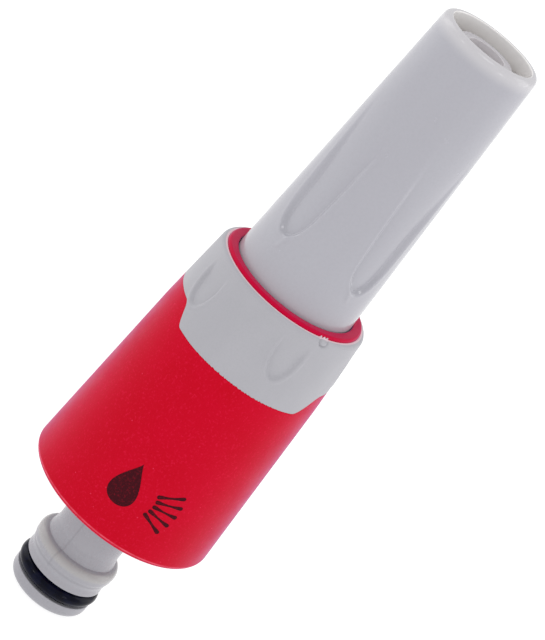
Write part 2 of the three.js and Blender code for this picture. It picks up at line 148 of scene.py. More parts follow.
# Printed mark: a drop and a fan of strokes, placed by (distance around the grip, height)
DROP_PLACE, DROP_SIZE, DROP_POINTS = (-0.4, 35.6), 3.9, 72
FAN_OFFSET, FAN_RADIUS, FAN_LEANS = (1.4, -0.8), 6.8, (26, 13, 0, -13, -26)
STROKE_LENGTH, STROKE_WIDTH, STROKE_END_POINTS = 5.0, 0.75, 12
INK_LIFT, INK_SINK, INK_RINGS = 0.035, -0.05, 8

# Longest step along a straight that doesn't show
HIDDEN_STEP = 2.0

# ---------- numbers on a surface ----------


def smoothstep(x, low, high):
    """0 up to low, 1 from high on, and a smooth rise between."""
    t = np.clip((x - low) / (high - low), 0, 1)
    return t * t * (3 - 2 * t)


def from_nearest(angle, centre, count):
    """Signed angle to the nearest of evenly spaced centres."""
    turn = (angle - centre) * count / 360
    return (turn - np.round(turn)) * 360 / count


def inside_distance(across, height, half_width, bottom, top):
    """Signed distance from an upright outline open at its top, positive inside, in millimetres.

    across is the distance from the outline's middle line; half_width(height) is the outline's own.
    """
    levels = bottom + (top - bottom) * np.linspace(0, 1, 150) ** 2
    gap = np.full(across.shape, np.inf)
    for level, edge in zip(levels, half_width(levels)):
        gap = np.minimum(gap, np.hypot(np.abs(across) - edge, height - level))
    inside = (height > bottom) & (np.abs(across) < half_width(np.maximum(height, bottom)))
    return np.where(inside, gap, -gap)


def line_at(distance, width):
    """A soft line along zero distance, 1 at its middle."""
    return np.exp(-((distance / width) ** 2))


def waves(angle, seed, orders, falloff=1.0):
    """A repeatable wavy line around the axis, made of a few sine waves, about -1 to 1."""
    rng = np.random.default_rng(seed)
    total = np.zeros_like(angle, dtype=float)
    for order in orders:
        total = total + np.sin(np.radians(angle) * order + rng.uniform(0, TAU)) / order**falloff
    return total / sum(1 / order**falloff for order in orders)


def grip_radius(height):
    """Outer radius of the grip: the smaller of its two tapers."""
    slope_low = (GRIP_BEND[1] - GRIP_FOOT[1]) / (GRIP_BEND[0] - GRIP_FOOT[0])
    slope_high = (GRIP_END[1] - GRIP_BEND[1]) / (GRIP_END[0] - GRIP_BEND[0])
    low = GRIP_BEND[1] + (height - GRIP_BEND[0]) * slope_low
    high = GRIP_BEND[1] + (height - GRIP_BEND[0]) * slope_high
    return np.minimum(low, high)


def seat_radius(height):
    """Outer radius of the red shell under the collar."""
    return np.maximum(grip_radius(height) - COLLAR_INSET, GRIP_RIM)


def barrel_radius(height):
    """Outer radius of the barrel: straight inside the grip, then tapered to the mouth."""
    share = np.clip((height - BARREL_STRAIGHT_TOP) / (MOUTH_HEIGHT - BARREL_STRAIGHT_TOP), 0, 1)
    return BARREL_RADIUS + share * (MOUTH_RADIUS - BARREL_RADIUS)


# ---------- outlines and turned meshes ----------


def rounded(corners, step, fine_beyond=0.0):
    """A closed outline from (radius, height, fillet) corners, with its straights cut into short steps.

    Straights that reach inside the fine_beyond radius are hidden ones, and get long steps.
    """
    points = []
    count = len(corners)
    for i, (x, y, fillet) in enumerate(corners):
        here = np.array([x, y])
        before = np.array(corners[i - 1][:2]) - here
        after = np.array(corners[(i + 1) % count][:2]) - here
        before_length, after_length = np.linalg.norm(before), np.linalg.norm(after)
        before, after = before / before_length, after / after_length
        half = math.acos(np.clip(np.dot(before, after), -1, 1)) / 2
        if fillet <= 0 or half > math.radians(89.5):
            points.append(here)
            continue
        before_share = fillet / max(fillet + corners[i - 1][2], 1e-9)
        after_share = fillet / max(fillet + corners[(i + 1) % count][2], 1e-9)
        room = 0.98 * min(before_share * before_length, after_share * after_length)
        reach = min(fillet / math.tan(half), room)
        radius = reach * math.tan(half)
        middle = (before + after) / np.linalg.norm(before + after)
        centre = here + middle * radius / math.sin(half)
        start, end = here + before * reach - centre, here + after * reach - centre
        sweep = math.atan2(start[0] * end[1] - start[1] * end[0], np.dot(start, end))
        pieces = max(3, math.ceil(abs(sweep) * 6))
        for k in range(pieces + 1):
            a = sweep * k / pieces
            turn = np.array([[math.cos(a), -math.sin(a)], [math.sin(a), math.cos(a)]])
            points.append(centre + turn @ start)
    outline = []
    for i, p in enumerate(points):
        q = points[(i + 1) % len(points)]
        longest = step if min(p[0], q[0]) > fine_beyond else HIDDEN_STEP
        pieces = max(1, int(np.linalg.norm(q - p) / longest))
        outline.extend(p + (q - p) * k / pieces for k in range(pieces))
    return np.array(outline)


def mesh_object(name, vertices, faces, crease=50):
    """A smooth-shaded mesh whose edges turn sharp beyond the crease angle."""
    mesh = bpy.data.meshes.new(name)
    mesh.from_pydata(vertices, [], faces)
    mesh.validate()
    mesh.shade_smooth()
    mesh.set_sharp_from_angle(angle=math.radians(crease))
    mesh.update()
    piece = bpy.data.objects.new(name, mesh)
    bpy.context.scene.collection.objects.link(piece)
    return piece


def turned(name, outline, segments, reshape=None):
    """A ring turned about Z from a closed outline that runs up its outside and down its inside."""
    outline = np.asarray(outline, float)
    rows = len(outline)
    angle = np.tile(np.arange(segments) * 360 / segments - 180, (rows, 1))
    radius = np.repeat(outline[:, :1], segments, axis=1)
    height = np.repeat(outline[:, 1:], segments, axis=1)
    if reshape:
        radius, height = reshape(radius, angle, height)
    x = radius * np.sin(np.radians(angle))
    y = -radius * np.cos(np.radians(angle))
    vertices = np.stack([x, y, height], axis=-1).reshape(-1, 3) * MM
    row, column = np.meshgrid(np.arange(rows), np.arange(segments), indexing="ij")
    up, along = (row + 1) % rows, (column + 1) % segments
    low_left, low_right = row * segments + column, row * segments + along
    top_right, top_left = up * segments + along, up * segments + column
    faces = np.stack([low_left, low_right, top_right, top_left], axis=-1).reshape(-1, 4)
    return mesh_object(name, vertices.tolist(), faces.tolist())


def ring(name, node, body, section=None):
    """A fine round seal where a CAD seal lies, with a section of its own or the CAD seal's.

    The CAD seals are six-sided in section, so their height is the sine of 60 degrees of the section.
    """
    low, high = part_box(node)
    outer = high.x / MM
    thickness = section or (high.z - low.z) / MM / math.sin(math.radians(60))
    middle = (low.z + high.z) / 2 / MM
    turn = np.radians(np.arange(0, 360, 10))
    centre = outer - thickness / 2
    radius = centre + thickness / 2 * np.cos(turn)
    height = middle + thickness / 2 * np.sin(turn)
    piece = turned(name, np.stack([radius, height], axis=-1), 192)
    return place(piece, body, "seal_rubber", seal_rubber, node)


def place(piece, body, slot, material, *nodes):
    """Gives a piece its material and its body, and hides the CAD nodes that it stands for. The slot
    argument is not used.
    """
    piece.data.materials.append(material)
    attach(piece, body)
    if nodes:
        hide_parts(*nodes)
    return piece


# ---------- materials ----------


class Surface:
    """A node material of one principled shader, with helpers for the procedural parts."""

    def __init__(self, name, **sockets):
        self.material = bpy.data.materials.new(name)
        self.material.use_nodes = True
        self.tree = self.material.node_tree
        self.shader = self.tree.nodes["Principled BSDF"]
        self.place = self.add("ShaderNodeTexCoord").outputs["Object"]
        for socket, value in sockets.items():
            self.shader.inputs[socket.replace("_", " ")].default_value = value

    def add(self, kind, **settings):
        """A new shader node with its settings."""
        node = self.tree.nodes.new(kind)
        for key, value in settings.items():
            setattr(node, key, value)
        return node

    def feed(self, node, socket, value):
        """Links a socket, or sets a plain value, on a node's input."""
        if isinstance(value, bpy.types.NodeSocket):
            self.tree.links.new(value, node.inputs[socket])
        elif value is not None:
            node.inputs[socket].default_value = value

    def noise(self, size, detail=3.0, roughness=0.55, stretch=None):
        """Soft noise whose blobs are about size millimetres across."""
        where = self.place
        if stretch:
            mapping = self.add("ShaderNodeMapping")
            self.feed(mapping, "Vector", where)
            mapping.inputs["Scale"].default_value = stretch
            where = mapping.outputs["Vector"]
        node = self.add("ShaderNodeTexNoise")
        self.feed(node, "Vector", where)
        node.inputs["Scale"].default_value = 1 / (size * MM)
        node.inputs["Detail"].default_value = detail
        node.inputs["Roughness"].default_value = roughness
        return node.outputs["Fac"]

    def dots(self, spacing, radius):
        """1 inside small soft-edged dots scattered about spacing millimetres apart, 0 elsewhere."""
        node = self.add("ShaderNodeTexVoronoi")
        self.feed(node, "Vector", self.place)
        node.inputs["Scale"].default_value = 1 / (spacing * MM)
        solid_share = 0.7
        inner, outer = radius * solid_share / spacing, radius / spacing
        return self.span(node.outputs["Distance"], inner, outer, 1, 0)

    def span(self, value, low, high, to_low=0.0, to_high=1.0, smooth=True):
        """to_low where value is low, to_high where it is high, and between them between."""
        node = self.add("ShaderNodeMapRange", interpolation_type="SMOOTHSTEP" if smooth else "LINEAR")
        node.inputs["From Min"].default_value = low
        node.inputs["From Max"].default_value = high
        node.inputs["To Min"].default_value = to_low
        node.inputs["To Max"].default_value = to_high
        self.feed(node, "Value", value)
        return node.outputs["Result"]

    def math(self, operation, a, b=None):
        node = self.add("ShaderNodeMath", operation=operation)
        self.feed(node, 0, a)
        self.feed(node, 1, b)
        return node.outputs["Value"]

    def height(self):
        """Height on the nozzle at rest, in millimetres."""
        split = self.add("ShaderNodeSeparateXYZ")
        self.feed(split, "Vector", self.place)
        return self.math("DIVIDE", split.outputs["Z"], MM)

    def radius(self):
        """Distance from the nozzle's axis in millimetres."""
        split = self.add("ShaderNodeSeparateXYZ")
        self.feed(split, "Vector", self.place)
        x_squared = self.math("POWER", self.math("ABSOLUTE", split.outputs["X"]), 2.0)
        y_squared = self.math("POWER", self.math("ABSOLUTE", split.outputs["Y"]), 2.0)
        return self.math("DIVIDE", self.math("SQRT", self.math("ADD", x_squared, y_squared)), MM)

    def off_plane(self, angle):
        """Distance in millimetres from the upright plane through the axis at an angle."""
        split = self.add("ShaderNodeSeparateXYZ")
        self.feed(split, "Vector", self.place)
        x_share = self.math("MULTIPLY", split.outputs["X"], math.cos(math.radians(angle)) / MM)
        y_share = self.math("MULTIPLY", split.outputs["Y"], math.sin(math.radians(angle)) / MM)
        return self.math("ABSOLUTE", self.math("ADD", x_share, y_share))

    def mix(self, share, a, b):
        """Colour a, or b where share is 1."""
        node = self.add("ShaderNodeMix", data_type="RGBA")
        self.feed(node, 0, share)
        self.feed(node, 6, a)
        self.feed(node, 7, b)
        return node.outputs[2]

    def colour(self, value):
        self.feed(self.shader, "Base Color", value)
        return self

    def roughness(self, value):
        self.feed(self.shader, "Roughness", value)
        return self

    def bump(self, height, distance, under=None):
        """Adds a bump of distance millimetres on top of another bump."""
        node = self.add("ShaderNodeBump")
        self.feed(node, "Height", height)
        node.inputs["Distance"].default_value = distance * MM
        node.inputs["Strength"].default_value = 1.0
        if under is not None:
            self.feed(node, "Normal", under)
        self.feed(self.shader, "Normal", node.outputs["Normal"])
        return node.outputs["Normal"]


def tint(red, green, blue):
    """A linear colour from the 0-255 numbers of a display colour."""
    def linear(c):
        c /= 255
        return c / 12.92 if c <= 0.04045 else ((c + 0.055) / 1.055) ** 2.4
    return (linear(red), linear(green), linear(blue), 1)


def mouth_painted_light(s, colour, mouth_wall_light):
    """Painted light at the barrel's mouth: its inner face painted lighter than the barrel to make up for
    the shade inside, lighter still towards the rim, and a painted highlight along its lip.
    """
    inner_face = s.span(s.radius(), MOUTH_BORE + 0.1, MOUTH_BORE + 0.2, 1, 0)
    inside = s.math("MULTIPLY", inner_face, s.span(s.height(), RECESS_FLOOR - 8, RECESS_FLOOR - 7))
    towards_rim = s.span(s.height(), MOUTH_HEIGHT - 6.0, MOUTH_HEIGHT - 0.5, smooth=False)
    # painted light: the inner face is painted lighter towards the rim
    wall = s.mix(towards_rim, mouth_wall_light, tint(252, 250, 248))
    colour = s.mix(inside, colour, wall)
    # painted highlight: a pale band along the mouth's lip
    lip = s.math("MULTIPLY", s.span(s.height(), MOUTH_HEIGHT - 3.2, MOUTH_HEIGHT - 0.6), 0.42)
    return s.mix(lip, colour, tint(222, 219, 219))


def plug_highlight_and_shade(s, colour, seam_and_step_shade):
    """A painted highlight along the plug's shoulder, and painted shade along its mould seam and in its
    step.
    """
    # painted highlight: a pale band along the shoulder below the neck
    above_step = s.span(s.height(), PLUG_STEP + 1.0, PLUG_STEP + 1.8)
    below_neck = s.span(s.height(), SHOULDER_TOP - 0.45, SHOULDER_TOP - 0.05, 1, 0)
    highlight_band = s.math("MULTIPLY", above_step, below_neck)
    colour = s.mix(s.math("MULTIPLY", highlight_band, 0.6), colour, tint(176, 174, 171))
    # painted shade: a darker line along the mould seam and around the step
    above_groove = s.math("MULTIPLY", s.span(s.height(), GROOVE_TOP + 0.75, PLUG_SWELL[1] + 0.1), 0.24)
    line = s.math("MULTIPLY", s.span(s.off_plane(PARTING_ANGLE), 0.04, 0.34, 1, 0), above_groove)
    colour = s.mix(line, colour, seam_and_step_shade)
    off_step = s.math("ABSOLUTE", s.math("SUBTRACT", s.height(), PLUG_STEP))
    return s.mix(s.span(off_step, 0.05, 0.5, 0.24, 0), colour, seam_and_step_shade)


def moulded(name, base, paler, darker, rough, grain, orange_peel, mouth_wall_light=None, seam_and_step_shade=None, bore_light=None):
    """Satin moulded plastic: faint flow marks, orange peel, fine grain, a few specks and scuffs.

    For the barrel, a painted light colour for its inner face deep inside the mouth; for the plug, a
    painted shade colour for its seam and step.
    For the tube, a radius and a painted light colour for the faces inside it.
    """
    s = Surface(name, IOR=1.48)
    flow = s.span(s.noise(14, detail=2, stretch=(1, 1, 0.35)), 0.3, 0.7)
    colour = s.mix(s.math("MULTIPLY", flow, 0.5), base, paler)
    mottle = s.span(s.noise(0.45, detail=4), 0.35, 0.7)
    colour = s.mix(s.math("MULTIPLY", mottle, 0.22), colour, darker)
    # painted light at the mouth: a lighter inner face and a painted highlight on the lip
    if mouth_wall_light:
        colour = mouth_painted_light(s, colour, mouth_wall_light)
    # painted light: faces inside the bore get a lighter colour to make up for the shade in there
    if bore_light:
        bore_radius, bore_light_colour = bore_light
        in_bore = s.span(s.radius(), bore_radius, bore_radius + 0.1, 1, 0)
        colour = s.mix(in_bore, colour, bore_light_colour)
    # painted highlight on the plug's shoulder and painted shade in its seam and step
    if seam_and_step_shade:
        colour = plug_highlight_and_shade(s, colour, seam_and_step_shade)
    pale_specks = s.math("MULTIPLY", s.dots(9.5, 0.11), 0.5)
    colour = s.mix(pale_specks, colour, tint(226, 226, 230))
    dark_specks = s.math("MULTIPLY", s.dots(8.3, 0.10), 0.5)
    colour = s.mix(dark_specks, colour, tint(120, 120, 126))
    s.colour(colour)
    scuff = s.span(s.noise(6, detail=5, roughness=0.7), 0.35, 0.75, -0.03, 0.08)
    s.roughness(s.math("ADD", rough, scuff))
    peel = s.bump(s.noise(2.2, detail=2), orange_peel)
    s.bump(s.noise(0.16, detail=2), grain, under=peel)
    return s.material


# the last colour is painted light for the mouth's inner face, lighter than the barrel to make up for the
# shade in there
barrel_plastic = moulded("barrel_plastic", tint(170, 169, 177), tint(175, 175, 182), tint(161, 161, 168),
                         rough=0.20, grain=0.002, orange_peel=0.008, mouth_wall_light=tint(216, 207, 202))
# the bore colour is painted light, lighter to make up for the shade inside the orifice
tube_plastic = moulded("tube_plastic", tint(178, 175, 180), tint(184, 181, 186), tint(168, 165, 170),
                       rough=0.32, grain=0.002, orange_peel=0.010,
                       bore_light=(ORIFICE_RADIUS + 0.02, tint(214, 210, 213)))
# the last colour is painted shade for the plug's seam and step
plug_plastic = moulded("plug_plastic", tint(159, 158, 165), tint(164, 164, 170), tint(150, 149, 156),
                       rough=0.26, grain=0.003, orange_peel=0.010, seam_and_step_shade=tint(118, 116, 122))
inner_plastic = moulded("inner_plastic", tint(163, 164, 169), tint(170, 171, 175), tint(150, 151, 156),
                        rough=0.42, grain=0.003, orange_peel=0.010)
white_plastic = moulded("white_plastic", tint(222, 222, 216), tint(230, 230, 226), tint(205, 205, 198),
                        rough=0.40, grain=0.003, orange_peel=0.012)


def soft_grip():
    """Matt soft rubber with a silky sheen, faint smears, dust caught in it and a painted highlight along
    its inner lip.
    """
    s = Surface("grey_soft_grip", IOR=1.45, Sheen_Weight=0.12, Sheen_Roughness=0.5)
    smear = s.span(s.noise(9, detail=3, stretch=(1, 1, 0.6)), 0.35, 0.7)
    colour = s.mix(s.math("MULTIPLY", smear, 0.55), tint(168, 167, 173), tint(174, 173, 179))
    mottle = s.span(s.noise(0.3, detail=4), 0.4, 0.7)
    colour = s.mix(s.math("MULTIPLY", mottle, 0.2), colour, tint(154, 156, 160))
    colour = s.mix(s.math("MULTIPLY", s.dots(4.6, 0.10), 0.6), colour, tint(128, 124, 124))
    # painted highlight: a pale pink line along the collar's inner top edge
    near_rim = s.span(s.radius(), GRIP_RIM + 0.3, GRIP_RIM + 0.55, 1, 0)
    lip = s.math("MULTIPLY", near_rim, s.span(s.height(), COLLAR_LIP, COLLAR_LIP + 0.2))
    colour = s.mix(s.math("MULTIPLY", lip, 0.7), colour, tint(236, 206, 214))
    s.colour(colour)
    s.roughness(s.span(s.noise(5, detail=4), 0.3, 0.7, 0.5, 0.64))
    soft = s.bump(s.noise(3.0, detail=2), 0.016)
    s.bump(s.noise(0.12, detail=3), 0.004, under=soft)
    return s.material


def speckled_red():
    """Red plastic with a pearly speckle, a spark-eroded grain, a rim painted darker as painted shade and
    a painted highlight along the foot's edge.
    """
    s = Surface("red_plastic", IOR=1.5, Specular_IOR_Level=0.05, Sheen_Weight=0.4, Sheen_Roughness=0.35,
                Sheen_Tint=(0.45, 0.45, 1.0, 1.0))
    flow = s.span(s.noise(11, detail=3), 0.3, 0.7)
    colour = s.mix(s.math("MULTIPLY", flow, 0.6), tint(192, 0, 29), tint(199, 0, 38))
    pearl = s.span(s.noise(0.42, detail=3, roughness=0.6), 0.52, 0.72)
    colour = s.mix(s.math("MULTIPLY", pearl, 0.45), colour, tint(220, 26, 66))
    fine = s.span(s.noise(0.2, detail=2), 0.5, 0.75)
    colour = s.mix(s.math("MULTIPLY", fine, 0.3), colour, tint(180, 0, 26))
    colour = s.mix(s.math("MULTIPLY", s.dots(2.6, 0.13), 0.5), colour, tint(234, 70, 104))
    # painted shade: the rim above the collar is painted a darker red
    rim = s.span(s.height(), COLLAR_LIP + 0.3, COLLAR_LIP + 0.8)
    colour = s.mix(s.math("MULTIPLY", rim, 0.6), colour, tint(188, 0, 60))
    # painted highlight: a pale pink line along the foot's edge, broken up by noise
    highlight_band = s.math("MULTIPLY", s.span(s.height(), *FOOT_HIGHLIGHT_BEGINS), s.span(s.height(), *FOOT_HIGHLIGHT_ENDS, 1, 0))
    wear_and_gleam = s.math("MULTIPLY", highlight_band, s.span(s.noise(1.1, detail=4), 0.3, 0.6, 0.3, 0.7))
    colour = s.mix(wear_and_gleam, colour, tint(236, 96, 118))
    s.colour(colour)
    s.roughness(s.span(s.noise(4, detail=4), 0.3, 0.7, 0.40, 0.52))
    coarse = s.bump(s.noise(0.5, detail=2), 0.010)
    s.bump(s.noise(0.14, detail=2), 0.006, under=coarse)
    return s.material


def glossy_rubber():
    """Greased black rubber with a blue cast, a little dull lint and moulding grain."""
    s = Surface("seal_rubber", IOR=1.5, Specular_IOR_Level=0.11)
    film = s.span(s.noise(1.6, detail=4), 0.35, 0.7)
    colour = s.mix(film, tint(0, 1, 16), tint(5, 9, 34))
    colour = s.mix(s.math("MULTIPLY", s.dots(2.9, 0.06), 0.4), colour, tint(70, 74, 88))
    s.colour(colour)
    s.roughness(s.span(s.noise(0.8, detail=4), 0.3, 0.7, 0.16, 0.24))
    s.bump(s.noise(0.35, detail=3), 0.004)
    return s.material


def print_ink():
    """Dark pad-printing ink, slightly worn so that the red shows through in places."""
    s = Surface("print_ink", IOR=1.5, Specular_IOR_Level=0.08)
    wear_and_gleam = s.span(s.noise(0.35, detail=5, roughness=0.7), 0.5, 0.68)
    s.colour(s.mix(s.math("MULTIPLY", wear_and_gleam, 0.45), tint(60, 6, 18), tint(140, 8, 32)))
    s.roughness(s.span(s.noise(0.6, detail=3), 0.3, 0.7, 0.42, 0.56))
    s.bump(s.noise(0.14, detail=2), 0.004)
    return s.material


soft_grey = soft_grip()
red_plastic = speckled_red()
seal_rubber = glossy_rubber()
ink = print_ink()

# ---------- barrel ----------


def flute_half_width(height, bottom):
    """Half the width of a flute in millimetres: a rounded tip, then a slow spread."""
    rest = 1 - np.clip((height - bottom) / FLUTE_TIP, 0, 1)
    spread = FLUTE_SPREAD * np.maximum(height - FLUTE_SPREAD_FROM, 0)
    half_angle = FLUTE_HALF_ANGLE * np.sqrt(1 - rest**2) + spread
    return np.radians(half_angle) * barrel_radius(height)


def flute_relief(angle, height):
    """What the flutes add to the barrel's radius.

    Each has a level floor, a short wall, a faint lip, and on its front side a soft tail below its tip.
    """
    relief = np.zeros_like(height)
    fade = 1 - smoothstep(height, FLUTE_FADE_FROM, FLUTE_TOP)
    wall = FLUTE_WALL + FLUTE_WALL_GROWTH * smoothstep(height, *FLUTE_WALL_GROWS)
    for centre, bottom in FLUTES:
        offset = from_nearest(angle, centre, 1)
        across = np.radians(offset) * barrel_radius(height)
        half_width = functools.partial(flute_half_width, bottom=bottom)
        inside = inside_distance(across, height, half_width, bottom, FLUTE_TOP + 3)
        relief -= FLUTE_DEPTH * smoothstep(inside, 0, wall) * fade
        relief += FLUTE_LIP * line_at(inside + LIP_OFFSET, LIP_WIDTH) * fade
        front_side = -np.sign(centre) * offset > 0
        tail_angle = TAIL_SPREAD * np.sqrt(np.maximum(height - TAIL_RISES[0], 0))
        tail = np.radians(tail_angle) * barrel_radius(height)
        tail_share = smoothstep(height, *TAIL_RISES) * (1 - smoothstep(height, *TAIL_FALLS))
        relief += TAIL_RELIEF * line_at(np.abs(across) - tail, TAIL_WIDTH) * tail_share * front_side
    return relief


def barrel():
    """The tapered outer barrel: a stop ring at its foot, flutes outside, a round-lipped mouth."""
    base, straight, mouth = lowest("barrel_shell"), BARREL_STRAIGHT_TOP, MOUTH_HEIGHT
    floor_radius = float(barrel_radius(RECESS_FLOOR)) - BARREL_WALL
    corners = [
        (STOP_BORE, base, 0.2),
        (STOP_RADIUS, base, 0.4),
        (STOP_RADIUS, base + STOP_EDGE, 0.4),
        (BARREL_RADIUS, base + STOP_TOP, 0.3),
        (BARREL_RADIUS, straight, 4.0),
        (MOUTH_RADIUS, mouth, MOUTH_LIP),
        (MOUTH_BORE, mouth, 0.35),
        (floor_radius, RECESS_FLOOR, 0.3),
        (float(barrel_radius(straight)) - BARREL_WALL, straight + 1, 0.3),
        (STOP_BORE, straight - 1, 0.3),
    ]

    def reshape(radius, angle, height):
        fluted = (height > FLUTED_FROM) & (height < FLUTED_TO)
        outside = (radius > barrel_radius(height) - 0.3) & fluted
        change = np.zeros_like(radius)
        change[outside] = flute_relief(angle[outside], height[outside])
        return radius + change, height

    piece = turned("barrel", rounded(corners, 0.2, 8.9), 440, reshape)
    return place(piece, "barrel", "grey_plastic", barrel_plastic, "barrel_shell")


def nozzle_tube():
    """The inner tube: seats for the bush and the gland seal, then a funnel, a throat and the orifice."""
    base, tip = lowest("nozzle_tube"), highest("nozzle_tube")
    corners = [
        (BUSH_SEAT_RADIUS, base, 0.2),
        (TUBE_FOOT_RADIUS, base, 0.2),
        (TUBE_FOOT_RADIUS, TUBE_FOOT_TOP, 0.5),
        (TUBE_RADIUS, TUBE_TAPER_TOP, 0.5),
        (TUBE_RADIUS, RECESS_FLOOR - 2, 0.8),
        (TUBE_TIP_RADIUS, RECESS_FLOOR, 0.5),
        (TUBE_TIP_RADIUS, tip, 0.35),
        (ORIFICE_RADIUS, tip, 0.1),
        (ORIFICE_RADIUS, ORIFICE_FOOT, 0.2),
        (THROAT_RADIUS, THROAT_TOP, 0.2),
        (THROAT_RADIUS, THROAT_LOW, 0.6),
        (TUBE_BORE, FUNNEL_FOOT, 0.6),
        (TUBE_BORE, GLAND_SEAT_TOP, 0.1),
        (GLAND_SEAT_RADIUS, GLAND_SEAT_TOP, 0.1),
        (GLAND_SEAT_RADIUS, GLAND_SEAT_LOW, 0.1),
        (BUSH_SEAT_RADIUS, BUSH_SEAT_TOP, 0.1),
    ]
    piece = turned("nozzle_tube_fine", rounded(corners, 1.0), 180)
    return place(piece, "barrel", "grey_plastic", tube_plastic, "nozzle_tube")


# ---------- grip ----------


def edge_rise(angle):
    """How far the collar's lower edge is lifted: a slight lean, and a step up between its two lobes."""
    offset = from_nearest(angle, LOBE_CENTRE, 2)
    left = smoothstep(-offset, LOBE_HALF_WIDTH, LOBE_HALF_WIDTH + LOBE_RAMP_LEFT)
    right = smoothstep(offset, LOBE_HALF_WIDTH, LOBE_HALF_WIDTH + LOBE_RAMP_RIGHT)
    lean = EDGE_LEAN * GRIP_BEND[1] * (np.sin(np.radians(angle)) - 1)
    return lean + LOBE_RISE * (left + right)


def flash(angle):
    """The line where the soft collar was moulded against the red shell: ragged towards the front."""
    from_middle = np.abs(from_nearest(angle, RAGGED_ANGLE, 1))
    ragged = 1 - smoothstep(from_middle, RAGGED_HALF_WIDTH, RAGGED_END)
    fine = waves(angle, 7, (83, 107, 141, 173, 211, 257), falloff=0.0)
    return 0.05 * waves(angle, 3, (5, 9, 14)) + RAGGED_DEPTH * np.maximum(fine, -0.1) * ragged


def follow_lobes(radius, angle, height, edge):
    """Lifts points near the collar's lower edge so that they follow its lobes, along the grip's taper."""
    above = 1 - (height - edge) / LOBE_REACH_UP
    below = 1 - (edge - height) / LOBE_REACH_DOWN
    share = np.clip(np.minimum(above, below), 0, 1)
    near = np.clip(1 - np.abs(height - edge) / FLASH_REACH, 0, 1)
    lifted = height + edge_rise(angle) * share + flash(angle) * near
    return radius + grip_radius(lifted) - grip_radius(height), lifted


def dent_half_width(height):
    """Half the width of a finger dent in millimetres: a rounded tip, then straight sides."""
    rest = 1 - np.clip((height - DENT_BOTTOM) / DENT_TIP, 0, 1)
    return np.radians(DENT_HALF_ANGLE * np.sqrt(1 - rest**2)) * DENT_MIDDLE_RADIUS


def dent_relief(angle, height):
    """U-shaped finger dents with a crisp wall and a raised lip, open towards the top."""
    across = np.radians(from_nearest(angle, DENT_CENTRE, DENT_COUNT)) * DENT_MIDDLE_RADIUS
    inside = inside_distance(across, height, dent_half_width, DENT_BOTTOM, COLLAR_LIP)
    fade = 1 - smoothstep(height, *DENT_FADE)
    dent = DENT_DEPTH * smoothstep(inside, 0, DENT_WALL)
    return (DENT_LIP * line_at(inside + LIP_OFFSET, LIP_WIDTH) - dent) * fade


def gate_mark(angle, radius, height):
    """A small half-moon left by the moulding gate at the collar's top edge."""
    across = from_nearest(angle, GATE_ANGLE, 1) * math.pi / 180 * radius
    distance = np.hypot(across, height - highest("grip_collar") + GATE_BELOW_TOP)
    button = distance < GATE_RADIUS - 0.25
    return -GATE_DEPTH * line_at(distance - GATE_RADIUS, GATE_LINE) + GATE_BUTTON * button


def gate_flash(angle):
    """Three little scraps of flash that stand up beside the gate mark."""
    return sum(SCRAP_HEIGHT * line_at(angle - GATE_ANGLE - side, SCRAP_WIDTH) for side in GATE_SCRAPS)


def grip_shell():
    """The red shell: skirt and web below, a chamber for the barrel's stop ring, a rim above."""
    base, top = lowest("grip_shell"), highest("grip_shell")
    edge = lowest("grip_collar")
    seat = edge - COLLAR_CLEARANCE
    corners = [
        (SKIRT_BORE, base, 0.3),
        (float(grip_radius(base)), base, 1.1),
        (float(grip_radius(seat - 4)), seat - 4, 0),
        (float(grip_radius(seat)), seat, 0.03),
        (float(seat_radius(seat)), seat + 0.005, 0.02),
        (float(seat_radius(NECKING_HEIGHT)), NECKING_HEIGHT, 1.0),
        (GRIP_RIM, top, 0.5),
        (GRIP_BORE, top, 0.2),
        (GRIP_BORE, STOP_UNDERSIDE, 0.2),
        (CHAMBER_RADIUS, STOP_UNDERSIDE, 0.3),
        (CHAMBER_RADIUS, CHAMBER_BEND, 2.0),
        (CHAMBER_FOOT_RADIUS, WEB_TOP, 0.8),
        (WEB_BORE, WEB_TOP, 0.2),
        (WEB_BORE, WEB_LOW, 0.2),
        (SKIRT_BORE, WEB_LOW, 0.5),
    ]

    def reshape(radius, angle, height):
        outside = (radius > seat_radius(height) - 0.3) & (height > 33)
        moved_radius, moved_height = follow_lobes(radius, angle, height, edge)
        return np.where(outside, moved_radius, radius), np.where(outside, moved_height, height)

    piece = turned("grip_body", rounded(corners, 0.6, 13.95), 400, reshape)
    return place(piece, "grip", "red_plastic", red_plastic, "grip_shell")


def grip_collar():
    """The soft collar moulded over the shell's upper end."""
    edge, top = lowest("grip_collar"), highest("grip_collar")
    lining = COLLAR_INSET - COLLAR_CLEARANCE
    seat = GRIP_RIM + COLLAR_CLEARANCE
    corners = [
        (float(grip_radius(edge)), edge, 0.03),
        (float(grip_radius(top)), top, 0.9),
        (seat, top - 0.05, 0.05),
        (seat, NECKING_HEIGHT, 1.0),
        (float(grip_radius(edge)) - lining, edge, 0.02),
    ]

    def reshape(radius, angle, height):
        radius, lifted = follow_lobes(radius, angle, height, edge)
        outside = radius > seat_radius(lifted) + 0.3
        change = np.zeros_like(radius)
        change[outside] = dent_relief(angle[outside], lifted[outside])
        mark = gate_mark(angle, radius, lifted)
        shoulder = (radius > seat + 0.2) & (height > GATE_FROM)
        scraps = gate_flash(angle) * ((radius < seat + 0.25) & (height > COLLAR_LIP + 0.5))
        lifted = lifted + scraps
        return radius + change + np.where(shoulder, mark, 0), lifted

    piece = turned("soft_collar", rounded(corners, 0.14), 600, reshape)
    return place(piece, "grip", "grey_soft_grip", soft_grey, "grip_collar")


# ---------- inlet ----------


